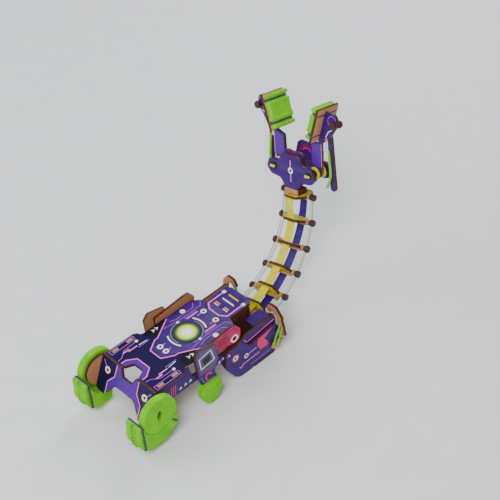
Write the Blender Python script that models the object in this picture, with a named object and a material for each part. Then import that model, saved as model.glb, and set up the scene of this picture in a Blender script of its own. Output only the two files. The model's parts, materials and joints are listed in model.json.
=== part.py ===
"""Robotic grabber arm kit: a hand-held body, a bending neck of spaced plates and a two-claw gripper.

Built in the body's own coordinates in millimetres: X to the right, Y forward along the
body, Z up, with zero at the middle of the top plate's upper face. The empty body_frame moves
everything so that the object stands on the world's floor, centred on the world's origin.
"""
import math

import bpy
from mathutils import Matrix, Vector
from mathutils.geometry import tessellate_polygon

MM = 0.001

# ---------------------------------------------------------------- driving dimensions (mm)
SHEET = 3.0                 # thickness of every wooden plate
GAP = 0.3                   # clearance between pieces that touch
BODY_HEIGHT = 56.0          # top plate's upper face above the surface it stands on
CENTRE_X = -24.13           # middle of the whole object's box, in body coordinates
CENTRE_Y = 57.649

REAR_Y = -67.0              # rear edge of the top plate
REAR_HALF = 36.0            # half width of the rear section
MID_HALF = 28.5             # half width of the middle section
NOSE_HALF = 16.0            # half width of the nose
NOSE_Y = 68.0               # front edge of the nose
SIDE_X = 30.0               # inner face of each side plate
OUTER_X = SIDE_X + SHEET + GAP   # inner face of the outer layer: lobe plates, trigger plates
REAR_TILT = 25.2            # slope of the rear plate, in degrees

GRIP_Y, GRIP_Z = -75.8, -15.5    # axis of the round grips
GRIP_X = REAR_HALF + GAP    # inner face of each grip's wooden disc
DISC_R, FOAM_R = 16.0, 19.5
FOAM_X = GRIP_X + SHEET + GAP
GRIP_OUT_X = 47.0           # outer face of the grips
WRAP_IN_X = 28.0            # the foam under the palm reaches this far in

PIVOT_Y, PIVOT_Z = 28.0, -7.0    # axle of the triggers
AXLE_R = 1.8

NECK_YAW = 11.5             # how far the neck is turned to the left, in degrees
NECK_BEND = 15.3            # bend between two neighbouring neck plates, in degrees
NECK_PITCH = 25.8           # distance between two neck plates along the neck
NECK_START = (-2.0, 83.5, -33.5)  # middle of the first neck plate
TURN_BACK = 10.0            # the neck's turning pin stands this far behind it
PLATES = 5                  # neck plates, before the head's collar
STRIP_Z = 8.0               # the two strips lie this far above and below the neck's middle
STRIP_W, STRIP_T = 8.6, 0.8
YELLOW_HALF, PURPLE_HALF = 11.0, 12.2   # reach of a strip to each side of a neck plate
BAR_Z = -0.8                # height of the cord knobs in a neck plate

CLAW_X, CLAW_Y = 23.0, 26.0  # claw pivots in the head's coordinates
PIN_R = 2.9
PAD_TILT = 18.0             # slope of each claw's pad, in degrees
PAD_X, PAD_Y = 24.0, 79.5   # middle of a pad's inner face
PAD_LENGTH, PAD_THICK = 33.0, 6.0
PAD_LOW, PAD_HIGH = -19.0, 7.0    # the pads' extent across the head
BOARD_LENGTH = 36.0


# ---------------------------------------------------------------- materials
def material(name, colour, roughness=0.55, metallic=0.0):
    mat = bpy.data.materials.new(name)
    mat.use_nodes = True
    shader = mat.node_tree.nodes["Principled BSDF"]
    shader.inputs["Base Color"].default_value = (*colour, 1.0)
    shader.inputs["Roughness"].default_value = roughness
    shader.inputs["Metallic"].default_value = metallic
    mat.diffuse_color = (*colour, 1.0)
    return mat


COLOURS = {
    "purple_board": (0.10, 0.02, 0.30),
    "navy_board": (0.02, 0.01, 0.10),
    "raw_board": (0.55, 0.33, 0.18),
    "yellow_board": (0.62, 0.66, 0.06),
    "pink_board": (0.80, 0.05, 0.20),
    "dark_wood": (0.08, 0.03, 0.02),
    "green_foam": (0.25, 0.58, 0.03),
    "yellow_strip": (0.90, 0.85, 0.02),
    "purple_strip": (0.12, 0.03, 0.42),
}


# ---------------------------------------------------------------- outlines
def rounded(corners, step=18.0):
    """Closed outline from (x, y) or (x, y, radius) corners; a radius rounds its corner."""
    count = len(corners)
    outline = []
    for index, corner in enumerate(corners):
        here = Vector(corner[:2])
        radius = corner[2] if len(corner) > 2 else 0.0
        if not radius:
            outline.append(here)
            continue
        back = (Vector(corners[index - 1][:2]) - here).normalized()
        ahead = (Vector(corners[(index + 1) % count][:2]) - here).normalized()
        half = back.angle(ahead) / 2
        centre = here + (back + ahead).normalized() * (radius / math.sin(half))
        first = here + back * (radius / math.tan(half)) - centre
        last = here + ahead * (radius / math.tan(half)) - centre
        sweep = first.angle_signed(last)
        pieces = max(2, math.ceil(abs(math.degrees(sweep)) / step))
        for piece in range(pieces + 1):
            turn = Matrix.Rotation(-sweep * piece / pieces, 2)
            outline.append(centre + turn @ first)
    return outline


def circle(x, y, radius, sides=24):
    return [Vector((x + radius * math.cos(2 * math.pi * i / sides),
                    y + radius * math.sin(2 * math.pi * i / sides))) for i in range(sides)]


def arc(x, y, radius, start, end, pieces):
    angles = [math.radians(start + (end - start) * i / pieces) for i in range(pieces + 1)]
    return [Vector((x + radius * math.cos(a), y + radius * math.sin(a))) for a in angles]


def box_outline(x0, y0, x1, y1):
    return [Vector(p) for p in ((x0, y0), (x1, y0), (x1, y1), (x0, y1))]


def mirrored(points):
    """Whole outline from its right half, listed from the rear middle to the front middle."""
    left = [(-p[0], *p[1:]) for p in reversed(points) if abs(p[0]) > 1e-6]
    return list(points) + left


def signed_area(outline):
    pairs = zip(outline, outline[1:] + outline[:1])
    return sum(a.x * b.y - b.x * a.y for a, b in pairs) / 2


# ---------------------------------------------------------------- solids
def add_object(name, verts, faces, colour, frame, parent):
    mesh = bpy.data.meshes.new(name)
    mesh.from_pydata([Vector(v) * MM for v in verts], [], faces)
    mesh.materials.append(MATERIALS[colour])
    mesh.validate()
    obj = bpy.data.objects.new(name, mesh)
    bpy.context.scene.collection.objects.link(obj)
    obj.parent = parent
    obj.matrix_local = frame
    return obj


def prism(name, outline, low, high, colour, frame, parent, holes=()):
    """Flat plate: an outline in the frame's XY plane, between two heights, with holes."""
    loops = [[Vector(p[:2]) for p in loop] for loop in (outline, *holes)]
    for index, loop in enumerate(loops):
        if (signed_area(loop) > 0) != (index == 0):
            loop.reverse()
    flat = [point for loop in loops for point in loop]
    total = len(flat)
    verts = [(p.x, p.y, low) for p in flat] + [(p.x, p.y, high) for p in flat]
    faces = []
    for a, b, c in tessellate_polygon([[p.to_3d() for p in loop] for loop in loops]):
        if (flat[b] - flat[a]).cross(flat[c] - flat[a]) < 0:
            b, c = c, b
        faces += [(a + total, b + total, c + total), (c, b, a)]
    first = 0
    for loop in loops:
        size = len(loop)
        for i in range(size):
            a, b = first + i, first + (i + 1) % size
            faces.append((a, b, b + total, a + total))
        first += size
    return add_object(name, verts, faces, colour, frame, parent)


def turned(name, profile, colour, frame, parent, sides=20):
    """Solid of revolution about the frame's Z axis from (height, radius, sides) steps."""
    verts, faces = [], []
    for height, radius in profile:
        for i in range(sides):
            angle = 2 * math.pi * (i + 0.5) / sides
            verts.append((radius * math.cos(angle), radius * math.sin(angle), height))
    for ring in range(len(profile) - 1):
        for i in range(sides):
            a, b = ring * sides + i, ring * sides + (i + 1) % sides
            faces.append((a, b, b + sides, a + sides))
    last = (len(profile) - 1) * sides
    faces.append(tuple(reversed(range(sides))))
    faces.append(tuple(last + i for i in range(sides)))
    return add_object(name, verts, faces, colour, frame, parent)


def join(target, *others):
    """Makes one solid of a target and the overlapping pieces added to it."""
    for other in others:
        union = target.modifiers.new("join", "BOOLEAN")
        union.operation, union.solver, union.object = "UNION", "EXACT", other
        other.hide_render, other.display_type = True, "WIRE"


# ---------------------------------------------------------------- frames
def axes(x, y, z, origin=(0.0, 0.0, 0.0)):
    """Matrix whose columns are three axes and an origin in millimetres."""
    matrix = Matrix((x, y, z)).transposed().to_4x4()
    matrix.translation = Vector(origin) * MM
    return matrix


def rotation(angle, axis):
    return Matrix.Rotation(math.radians(angle), 4, axis)


def shift(x, y, z):
    return Matrix.Translation(Vector((x, y, z)) * MM)


FLAT = Matrix.Identity(4)
ALONG = axes((0, 1, 0), (0, 0, 1), (1, 0, 0))      # side plates: outline in Y and Z
ACROSS = axes((1, 0, 0), (0, 0, 1), (0, -1, 0))    # cross plates: outline in X and Z


def empty(name, matrix, parent):
    obj = bpy.data.objects.new(name, None)
    obj.empty_display_size = 0.01
    bpy.context.scene.collection.objects.link(obj)
    obj.parent = parent
    obj.matrix_local = matrix
    return obj


def both_sides():
    return (("left", -1.0), ("right", 1.0))


def layer(side, inner, outer):
    """Lowest and highest X of a plate that lies between two distances from the middle."""
    return sorted((side * inner, side * outer))


# ---------------------------------------------------------------- the body
def top_plate(body):
    half = [(10.0, REAR_Y), (REAR_HALF, REAR_Y, 1.5), (REAR_HALF, -35.0, 1.5), (33.5, -31.5),
            (29.2, -30.0, 1.5), (29.2, -4.0), (MID_HALF, 0.0), (MID_HALF, 30.0, 5.0),
            (22.5, 37.0, 3.0), (NOSE_HALF, 38.5, 2.5), (NOSE_HALF, 64.0, 1.5), (12.5, NOSE_Y, 1.5)]
    notch = [(0.0, -58.5), (6.0, -58.5, 1.5)]
    outline = rounded(mirrored(notch + half))
    slots = [box_outline(side * 31.5 - 1.9, y - 3.9, side * 31.5 + 1.9, y + 3.9)
             for side in (-1, 1) for y in (-59.5, -42.5)]
    slots += [box_outline(side * 6.0 - 3.2, 42.6, side * 6.0 + 3.2, 45.6) for side in (-1, 1)]
    slots += [box_outline(-8.0, 51.2, 8.0, 52.8), box_outline(-7.0, 58.2, 7.0, 59.8)]
    prism("top_plate", outline, -SHEET, 0.0, "navy_board", FLAT, body, slots)


def rear_plate(body):
    slope = math.radians(REAR_TILT)
    frame = axes((1, 0, 0), (0, math.sin(slope), math.cos(slope)),
                 (0, -math.cos(slope), math.sin(slope)), (0, REAR_Y - 0.4, 0))
    half = [(36.0, 0.0, 1.0), (10.0, 0.0), (6.0, -8.0, 1.5), (0.0, -8.0)]
    arch = [(0.0, -21.0), (13.0, -21.5, 9.0), (24.0, -36.0, 1.5), (36.0, -36.0, 5.0)]
    prism("rear_plate", rounded(mirrored(arch + half)), 0.0, SHEET, "navy_board", frame, body)


def side_plates(body):
    tabs = []
    for y in (-42.5, -59.5):
        tabs += [(y + 3.5, -3.3), (y + 3.5, 0.0), (y - 3.5, 0.0), (y - 3.5, -3.3)]
    outline = rounded([(-68.4, -3.3), (-76.0, -24.0, 2.0), (8.0, -24.0), (18.0, -46.0, 6.0),
                       (79.0, -46.0, 3.0), (79.4, -14.0, 5.0), (41.0, -14.0, 2.0), (38.5, -16.0),
                       (-25.0, -16.0, 2.0), (-27.0, -3.3)] + tabs)
    lobe = rounded([(13.5, -15.0, 2.0), (11.5, -34.0, 8.0), (24.0, -56.0, 16.0), (43.0, -56.0, 2.0),
                    (44.0, -52.7), (70.0, -52.7, 6.0), (80.0, -44.0, 5.0), (79.4, -26.0, 4.0),
                    (73.0, -21.5, 2.0), (42.5, -25.5, 1.0), (34.0, -13.5, 2.0)])
    for side_name, side in both_sides():
        low, high = layer(side, SIDE_X, SIDE_X + SHEET)
        prism("side_plate_" + side_name, outline, low, high, "purple_board", ALONG, body)
        low, high = layer(side, OUTER_X, OUTER_X + SHEET)
        prism("lobe_plate_" + side_name, lobe, low, high, "purple_board", ALONG, body)


def inner_frame(body):
    floor = rounded([(-36.5, 44.4, 2.0), (36.5, 44.4, 2.0), (36.5, 72.0, 4.0), (28.0, 79.4, 3.0),
                     (-28.0, 79.4, 3.0), (-36.5, 72.0, 4.0)])
    prism("floor_plate", floor, -BODY_HEIGHT, -BODY_HEIGHT + SHEET, "purple_board", FLAT, body)
    wall = rounded([(-20.0, -3.3, 2.0), (-20.0, -20.0, 4.0), (30.0, -30.0, 6.0),
                    (46.0, -52.7, 2.0), (64.0, -52.7, 2.0), (64.0, -3.3, 2.0)])
    hole = circle(PIVOT_Y, PIVOT_Z, AXLE_R + GAP, 20)
    for side_name, side in both_sides():
        low, high = layer(side, NOSE_HALF - GAP - SHEET, NOSE_HALF - GAP)
        prism("nose_wall_" + side_name, wall, low, high, "raw_board", ALONG, body, [hole])
    ends = SIDE_X + SHEET
    turned("trigger_axle", [(-ends, AXLE_R), (ends, AXLE_R)], "dark_wood",
           shift(0, PIVOT_Y, PIVOT_Z) @ rotation(90, "Y"), body)


def nose_ears(body):
    for side_name, side in both_sides():
        hook = rounded([(side * x, z, *r) for x, z, *r in
                        ((20.0, -15.0, 2.0), (24.0, -7.0, 3.0), (33.0, -6.5, 5.0),
                         (39.5, -15.0, 5.0), (43.0, -38.0, 1.0), (37.5, -39.0, 1.0),
                         (34.0, -18.0, 4.0), (28.5, -12.0, 3.0), (25.5, -17.5, 1.5))])
        prism("nose_ear_" + side_name, hook, -82.9, -79.9, "raw_board", ACROSS, body)


def grips(body):
    """Foam disc with a leaf-shaped hole on a wooden disc, and thick foam under the palm."""
    reach, width = 6.6, 3.0
    ring = FOAM_R + GAP
    rear = [(-ring, 1.5), (-25.0, 1.5, 3.0), (-26.7, -22.5, 8.0), (-17.0, -33.5, 8.0)]
    inner_part = rounded(rear + [(5.0, -33.5, 3.0)]) + arc(0, 0, ring, -76, -184, 18)[:-1]
    outer_part = (rounded(rear + [(7.0, -32.0, 10.0), (18.6, -22.0, 8.0), (18.4, -12.0, 1.5)])
                  + arc(0, 0, ring, -37, -184, 24)[:-1])
    rise = [Vector((width * math.sin(math.pi * i / 6), reach * (i / 3 - 1))) for i in range(7)]
    leaf = rise + [Vector((-p.x, p.y)) for p in reversed(rise[1:-1])]
    for side_name, side in both_sides():
        frame = shift(0, GRIP_Y, GRIP_Z) @ ALONG
        low, high = layer(side, GRIP_X, GRIP_X + SHEET)
        prism("grip_disc_" + side_name, circle(0, 0, DISC_R, 40), low, high, "raw_board",
              frame, body)
        low, high = layer(side, FOAM_X, GRIP_OUT_X)
        prism("grip_foam_" + side_name, circle(0, 0, FOAM_R, 48), low, high, "green_foam",
              frame, body, [leaf])
        low, high = layer(side, WRAP_IN_X, FOAM_X + 1.0)
        wrap = prism("grip_wrap_" + side_name, inner_part, low, high, "green_foam", frame, body)
        low, high = layer(side, FOAM_X, GRIP_OUT_X)
        join(wrap, prism("grip_palm_" + side_name, outer_part, low, high, "green_foam", frame,
                         body))


# ---------------------------------------------------------------- the triggers
def triggers(body):
    lever = rounded([(-12.0, 5.5, 2.0), (-12.0, -9.0, 2.0), (10.0, -9.0), (20.0, -11.5, 4.0),
                     (28.0, -13.5, 3.0), (35.0, -11.0, 4.0), (36.5, 0.0, 4.0), (31.0, 7.5, 3.0),
                     (24.0, 8.0, 3.0)])
    window = rounded([(-22.0, 7.0, 2.0), (-21.0, -20.0, 3.0), (-18.0, -31.0, 1.0),
                      (0.0, -31.0, 1.0), (-2.0, -23.0, 3.0), (5.0, -12.0, 3.0), (3.0, 8.0, 1.5),
                      (-16.5, 13.0, 2.0)])
    pad = rounded([(-21.5, -31.4, 1.0), (-22.5, -44.0, 6.0), (-16.5, -55.6, 8.0),
                   (-5.0, -54.6, 8.0), (2.0, -42.0, 6.0), (1.0, -31.4, 1.0)])
    back = -Vector((0, PIVOT_Y, PIVOT_Z))
    for side_name, side in both_sides():
        pivot = empty("trigger_pivot_" + side_name, shift(0, PIVOT_Y, PIVOT_Z), body)
        frame = shift(*back) @ ALONG
        hole = circle(PIVOT_Y, PIVOT_Z, AXLE_R + GAP, 20)
        low, high = layer(side, SIDE_X, SIDE_X + SHEET)
        prism("trigger_lever_" + side_name, lever, low, high, "pink_board", frame, pivot, [hole])
        low, high = layer(side, OUTER_X, OUTER_X + SHEET)
        prism("trigger_plate_" + side_name, window, low, high, "purple_board", frame, pivot)
        low, high = layer(side, 32.0, 41.5)
        prism("trigger_pad_" + side_name, pad, low, high, "green_foam", frame, pivot)


# ---------------------------------------------------------------- the neck
def strip(name, height, start, end, colour, station, holes=()):
    outline = box_outline(-STRIP_W / 2, start, STRIP_W / 2, end)
    prism(name, outline, height - STRIP_T / 2, height + STRIP_T / 2, colour, FLAT, station, holes)


def neck_plate(name, station):
    """Eight-sided plate with a notch at each end, where the knobs' stubs lie."""
    low, high = BAR_Z - 2.7, BAR_Z + 2.7
    half = [(0.0, -11.6), (9.8, -11.6, 4.0), (13.0, -5.4, 2.0), (13.0, low), (10.3, low),
            (10.3, high), (13.0, high), (13.0, 4.5, 3.0), (7.6, 11.6, 3.0), (0.0, 11.6)]
    outline = rounded(mirrored(half))
    clear = 0.45
    slots = [box_outline(-STRIP_W / 2 - clear, side * STRIP_Z - STRIP_T / 2 - clear,
                         STRIP_W / 2 + clear, side * STRIP_Z + STRIP_T / 2 + clear)
             for side in (-1, 1)]
    prism(name, outline, -SHEET / 2, SHEET / 2, "yellow_board", ACROSS, station, slots)


def knob_bar(name, station):
    """Yoke below the plate that ends in a stub, a collar and a six-sided knob on each side."""
    yoke = prism(name, box_outline(-12.2, -3.9, 12.2, -1.8), BAR_Z - 1.5, BAR_Z + 1.5,
                 "dark_wood", FLAT, station)
    profile = [(10.6, 2.4), (13.4, 2.4), (13.4, 3.4), (16.4, 3.4), (16.4, 2.0), (17.0, 2.0),
               (17.0, 3.6), (21.4, 3.6)]
    ends = [turned(f"{name}_{side_name}", profile, "dark_wood",
                   shift(0, 0, BAR_Z) @ rotation(side * 90, "Y"), station, 6)
            for side_name, side in both_sides()]
    join(yoke, *ends)


def neck(body):
    """Chain of stations, each bent up from the one before about an axis along X."""
    upright = shift(*NECK_START)
    yaw = rotation(NECK_YAW, "Z")
    back = (yaw @ Vector((0, TURN_BACK, 0))) * -1
    turn_place = Vector(NECK_START) + back
    turn = empty("neck_turn", shift(*turn_place), body)
    station = empty("neck_station_1", shift(*-back) @ yaw, turn)

    block = rounded([(-9.0, -16.0, 2.0), (9.0, -16.0, 2.0), (9.0, -6.0), (-9.0, -6.0)])
    hole = circle(0, -TURN_BACK, 2.8, 20)
    prism("neck_base", block, -6.8, 6.8, "raw_board", FLAT, station, [hole])
    base = -BODY_HEIGHT + SHEET + GAP - NECK_START[2]
    turned("neck_pin", [(base, 5.0), (-8.8, 5.0), (-8.8, 2.5), (7.2, 2.5)], "dark_wood",
           upright @ shift(*back), body)

    half = NECK_PITCH / 2
    for number in range(1, PLATES + 2):
        if number > 1:
            joint_in_station = shift(0, half, 0) @ yaw.inverted()
            joint = empty(f"neck_joint_{number - 1}", joint_in_station, station)
            station = empty(f"neck_station_{number}",
                            rotation(NECK_BEND, "X") @ yaw @ shift(0, half, 0), joint)
        if number <= PLATES:
            neck_plate(f"neck_plate_{number}", station)
            first = number == 1
            strip(f"yellow_strip_{number}", STRIP_Z, -18.0 if first else -YELLOW_HALF,
                  YELLOW_HALF, "yellow_strip", station)
            strip(f"purple_strip_{number}", -STRIP_Z, -18.0 if first else -PURPLE_HALF,
                  PURPLE_HALF, "purple_strip", station, [hole] if first else [])
        knob_bar(f"knob_bar_{number}", station)
    return station


# ---------------------------------------------------------------- the head and its claws
def head_outline(top):
    """Two wings with the claw pivots, a rounded top lobe and a lower tongue."""
    half = [(0.0, 8.0), (8.5, 8.0, 5.0), (14.0, 16.0, 5.0), (27.0, 17.5, 6.0), (32.0, 24.0, 4.0),
            (28.5, 34.0, 6.0), (16.0, 33.0, 5.0), (11.5, top, 6.0), (0.0, top - 1.0)]
    return rounded(mirrored(half))


def head(station):
    neck_plate("head_collar", station)
    prism("head_block", box_outline(-8.6, 1.9, 8.6, 7.6), -3.5, 8.8, "raw_board", FLAT, station)
    holes = [circle(side * CLAW_X, CLAW_Y, PIN_R + GAP, 20) for side in (-1, 1)]
    prism("head_front_plate", head_outline(42.0), 6.0, 9.0, "purple_board", FLAT, station, holes)
    prism("head_back_plate", head_outline(49.0), -17.0, -14.0, "purple_board", FLAT, station,
          holes)
    middle = rounded(mirrored([(0.0, 10.0), (9.0, 10.0, 4.0), (14.0, 24.0, 6.0), (13.0, 46.0, 6.0),
                               (0.0, 44.0)]))
    prism("head_middle_plate", middle, 1.5, 4.5, "purple_board", FLAT, station)
    for side_name, side in both_sides():
        turned("claw_pin_" + side_name, [(-18.0, PIN_R), (10.2, PIN_R)], "dark_wood",
               shift(side * CLAW_X, CLAW_Y, 0), station)


def claws(station):
    tilt = math.radians(PAD_TILT)
    along = Vector((math.sin(tilt), math.cos(tilt)))
    out = Vector((math.cos(tilt), -math.sin(tilt)))
    middle = Vector((PAD_X, PAD_Y))
    back_face = middle + out * (PAD_THICK + 2 * GAP + SHEET)
    low_end = back_face - along * 18.8
    high_end = back_face + along * 14.5
    arm = [(17.0, 24.0, 4.0), (23.0, 18.0, 5.0), (29.0, 24.0, 4.0), (31.0, 36.0),
           (32.0, 58.0, 3.0), (41.0, 63.0, 4.0), (46.0, 71.0, 3.0), (52.5, 79.0, 5.0),
           (51.0, 89.0, 5.0), (44.0, 90.5, 3.0), (*high_end, 0.5), (*low_end, 0.5),
           (18.0, 55.5, 3.0), (17.5, 36.0)]
    for side_name, side in both_sides():
        pivot = empty("claw_pivot_" + side_name, shift(side * CLAW_X, CLAW_Y, 0), station)
        home = shift(-side * CLAW_X, -CLAW_Y, 0)
        outline = rounded([(side * p[0], *p[1:]) for p in arm])
        hole = circle(side * CLAW_X, CLAW_Y, PIN_R + GAP, 20)
        prism("claw_arm_" + side_name, outline, -5.0, -2.0, "purple_board", home, pivot, [hole])
        for name, start, thick, length, spare, colour in (
                ("claw_pad_", 0.0, PAD_THICK, PAD_LENGTH, 0.0, "green_foam"),
                ("claw_board_", PAD_THICK + GAP, SHEET, BOARD_LENGTH, 0.8, "raw_board")):
            corners = [middle + out * depth + along * reach
                       for depth, reach in ((start, -length / 2), (start + thick, -length / 2),
                                            (start + thick, length / 2), (start, length / 2))]
            outline = rounded([(side * p.x, p.y, 0.6) for p in corners])
            prism(name + side_name, outline, PAD_LOW - spare, PAD_HIGH + spare, colour, home,
                  pivot)


# ---------------------------------------------------------------- build
def build():
    for obj in list(bpy.data.objects):
        bpy.data.objects.remove(obj, do_unlink=True)
    body = empty("body_frame", shift(-CENTRE_X, -CENTRE_Y, BODY_HEIGHT), None)
    top_plate(body)
    rear_plate(body)
    side_plates(body)
    inner_frame(body)
    nose_ears(body)
    grips(body)
    triggers(body)
    last_station = neck(body)
    head(last_station)
    claws(last_station)
    bpy.context.view_layer.update()


MATERIALS = {name: material(name, colour) for name, colour in COLOURS.items()}
build()
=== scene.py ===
"""Looks of the robotic grabber arm: printed boards, foam, neck strips, cords and rubber bands.

Shapes are given in millimetres in the coordinates of the part that they belong to. The frames
below turn them into the model's metres.
"""
import json
import math

import bmesh
import bpy
from mathutils import Matrix, Vector, noise

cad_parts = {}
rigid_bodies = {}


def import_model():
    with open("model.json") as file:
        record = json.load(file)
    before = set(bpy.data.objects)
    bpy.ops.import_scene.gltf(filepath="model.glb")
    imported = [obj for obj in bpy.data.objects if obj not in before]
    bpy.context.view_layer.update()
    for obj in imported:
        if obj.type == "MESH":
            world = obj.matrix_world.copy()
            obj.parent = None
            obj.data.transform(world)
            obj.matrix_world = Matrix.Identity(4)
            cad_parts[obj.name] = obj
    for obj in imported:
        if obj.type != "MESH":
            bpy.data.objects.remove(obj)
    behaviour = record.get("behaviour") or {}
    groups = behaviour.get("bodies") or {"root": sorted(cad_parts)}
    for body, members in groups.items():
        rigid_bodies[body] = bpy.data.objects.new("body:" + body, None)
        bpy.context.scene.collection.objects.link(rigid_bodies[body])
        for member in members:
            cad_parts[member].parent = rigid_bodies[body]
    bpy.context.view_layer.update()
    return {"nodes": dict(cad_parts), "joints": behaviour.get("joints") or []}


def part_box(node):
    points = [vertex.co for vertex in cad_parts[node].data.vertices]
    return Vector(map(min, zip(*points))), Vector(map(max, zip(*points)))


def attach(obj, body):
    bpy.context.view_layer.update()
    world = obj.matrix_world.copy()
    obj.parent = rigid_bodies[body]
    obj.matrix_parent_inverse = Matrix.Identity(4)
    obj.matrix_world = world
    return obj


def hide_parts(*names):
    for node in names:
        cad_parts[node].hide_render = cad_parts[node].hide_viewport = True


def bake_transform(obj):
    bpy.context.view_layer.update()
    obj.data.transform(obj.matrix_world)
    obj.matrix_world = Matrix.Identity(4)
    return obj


MM = 0.001
SHEET = 3.0                      # thickness of every board
REAR_Y = -67.0                   # rear edge of the top plate in body coordinates
REAR_TILT = math.radians(25.2)   # slope of the rear plate
SIDE_FACE, OUTER_FACE = 33.0, 36.3   # outer faces of the side plates and of the outer layer
WALL_FACE = 15.7                 # outer face of the nose's walls
GRIP_Y, GRIP_Z = -75.8, -15.5    # axis of the grips
NECK_JOINTS = 5
NECK_YAW, NECK_BEND = math.radians(11.5), math.radians(15.3)
NECK_PITCH = 25.8                # distance from one neck board to the next
KNOB_X, KNOB_Z = 16.8, -0.8      # where the knobs start on a neck board, and their height
STRIP_RISE = 8.0                 # height of the yellow strip on a neck board; the purple one is below
STRIP_WIDTH, STRIP_THICKNESS = 8.6, 0.9
FRONT_FACE, MIDDLE_FACE, BACK_FACE = 9.0, 4.5, -14.0   # upper faces of the head's plates
CLAW_PIN = (23.0, 26.0)          # pin that the right claw turns on, in the head's coordinates
ARM_FACE = -2.0                  # upper face of the claws' arms
LINK_PIN = (38.6, 63.5)          # pin that holds the right claw's outer link
PAD_TILT = math.radians(18.0)    # slope of the claws' pads
INK_LIFT, INK_STEP, INK_THICKNESS = 0.02, 0.09, 0.08   # of the printed layers
SIDES = (("left", -1.0), ("right", 1.0))

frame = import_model()
NODES = frame["nodes"]
PIVOT = {joint["name"]: Vector(joint["pos_m"]) for joint in frame["joints"]}


# -------------------------------------------- frames
def axes(x, y, z, origin=(0.0, 0.0, 0.0)):
    """Matrix whose columns are three axes and an origin in millimetres."""
    matrix = Matrix((x, y, z)).transposed().to_4x4()
    matrix.translation = Vector(origin) * MM
    return matrix


def shift(x, y, z):
    return Matrix.Translation(Vector((x, y, z)) * MM)


def body_frame():
    """Body coordinates: zero at the middle of the top plate's upper face, Y forward."""
    low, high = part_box("top_plate")
    return Matrix.Translation(((low.x + high.x) / 2, low.y - REAR_Y * MM, high.z))


def station_frames():
    """Frames of the neck's boards and the head, from the joints between them."""
    frames = []
    for number in range(1, NECK_JOINTS + 2):
        bend = Matrix.Rotation(NECK_BEND * (number - 1), 3, "X")
        turn = bend @ Matrix.Rotation(NECK_YAW, 3, "Z")
        half = turn @ Vector((0, NECK_PITCH / 2 * MM, 0))
        if number <= NECK_JOINTS:
            origin = PIVOT[f"neck_bend_{number}"] - half
        else:
            origin = PIVOT[f"neck_bend_{NECK_JOINTS}"] + half
        frames.append(Matrix.Translation(origin) @ turn.to_4x4())
    return frames


BODY = body_frame()
STATIONS = station_frames()
HEAD = STATIONS[-1]
REAR = BODY @ axes((1, 0, 0), (0, math.sin(REAR_TILT), math.cos(REAR_TILT)),
                   (0, -math.cos(REAR_TILT), math.sin(REAR_TILT)), (0, REAR_Y - 0.4, 0))


def side_frame(side, distance):
    """Outline in Y and Z on a face that looks outwards, this far from the body's middle."""
    return BODY @ axes((0, 1, 0), (0, 0, 1), (side, 0, 0), (side * distance, 0, 0))


def direction(matrix, column, sign=1.0):
    """One axis of a frame as a unit vector, times `sign`."""
    return matrix.to_3x3().col[column].normalized() * sign


def pad_axes(side):
    """Outward and lengthwise directions of a claw's tilted pad."""
    out = direction(HEAD, 0, side * math.cos(PAD_TILT)) + direction(HEAD, 1, -math.sin(PAD_TILT))
    along = direction(HEAD, 0, side * math.sin(PAD_TILT)) + direction(HEAD, 1, math.cos(PAD_TILT))
    return out, along


def add_object(name, data):
    """New object in the scene."""
    obj = bpy.data.objects.new(name, data)
    bpy.context.scene.collection.objects.link(obj)
    return obj


# -------------------------------------------- camera, light and floor
CAMERA_AIM = (18.9, 69.4, 65.6)      # point that the camera looks at, in body coordinates
CAMERA_DISTANCE = 1350.0
CAMERA_TURN, CAMERA_RISE, CAMERA_ROLL = (math.radians(a) for a in (50.6, 42.25, -6.3))
CAMERA_LENS = 108.0


def add_camera():
    back = Vector((math.sin(CAMERA_TURN) * math.cos(CAMERA_RISE),
                   -math.cos(CAMERA_TURN) * math.cos(CAMERA_RISE), math.sin(CAMERA_RISE)))
    right = Vector((math.cos(CAMERA_TURN), math.sin(CAMERA_TURN), 0))
    aimed = axes(right, back.cross(right), back)
    camera = add_object("camera", bpy.data.cameras.new("camera"))
    camera.data.lens = CAMERA_LENS
    camera.data.sensor_width = 36.0
    camera.data.clip_end = 20.0
    place = BODY @ (Vector(CAMERA_AIM) * MM) + back * CAMERA_DISTANCE * MM
    camera.matrix_world = Matrix.Translation(place) @ aimed @ Matrix.Rotation(CAMERA_ROLL, 4, "Z")
    bpy.context.scene.camera = camera


def add_light(name, place, size, power, colour=(1, 1, 1)):
    """Square area light at a place in metres, turned towards the object."""
    data = bpy.data.lights.new(name, "AREA")
    data.size, data.energy, data.color = size, power, colour
    light = add_object(name, data)
    light.location = place
    aim = Vector((0, 0, 0.08)) - Vector(place)
    light.rotation_euler = aim.to_track_quat("-Z", "Y").to_euler()


def add_studio():
    world = bpy.data.worlds.new("studio")
    world.use_nodes = True
    background = world.node_tree.nodes["Background"]
    background.inputs["Color"].default_value = (0.88, 0.90, 0.92, 1)
    background.inputs["Strength"].default_value = 0.34
    bpy.context.scene.world = world
    add_light("key", (0.55, -0.75, 1.25), 0.7, 20.0, (1.0, 0.98, 0.94))
    add_light("fill", (-0.9, -0.5, 0.8), 0.9, 8.0, (0.93, 0.96, 1.0))
    add_light("rim", (-0.4, 1.0, 0.9), 0.6, 10.0)
    mesh = bpy.data.meshes.new("floor")
    reach = 2.5
    mesh.from_pydata([(-reach, -reach, 0), (reach, -reach, 0), (reach, reach, 0),
                      (-reach, reach, 0)], [], [(0, 1, 2, 3)])
    floor = add_object("floor", mesh)
    floor.data.materials.append(mottled("floor_paint", (0.92, 0.93, 0.94), (0.90, 0.91, 0.93),
                                        40, 0.75, 0.0))


# -------------------------------------------- materials
def linear(colour):
    """Shader colour from a colour as seen on a screen."""
    return tuple(c / 12.92 if c < 0.04045 else ((c + 0.055) / 1.055) ** 2.4 for c in colour)


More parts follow.
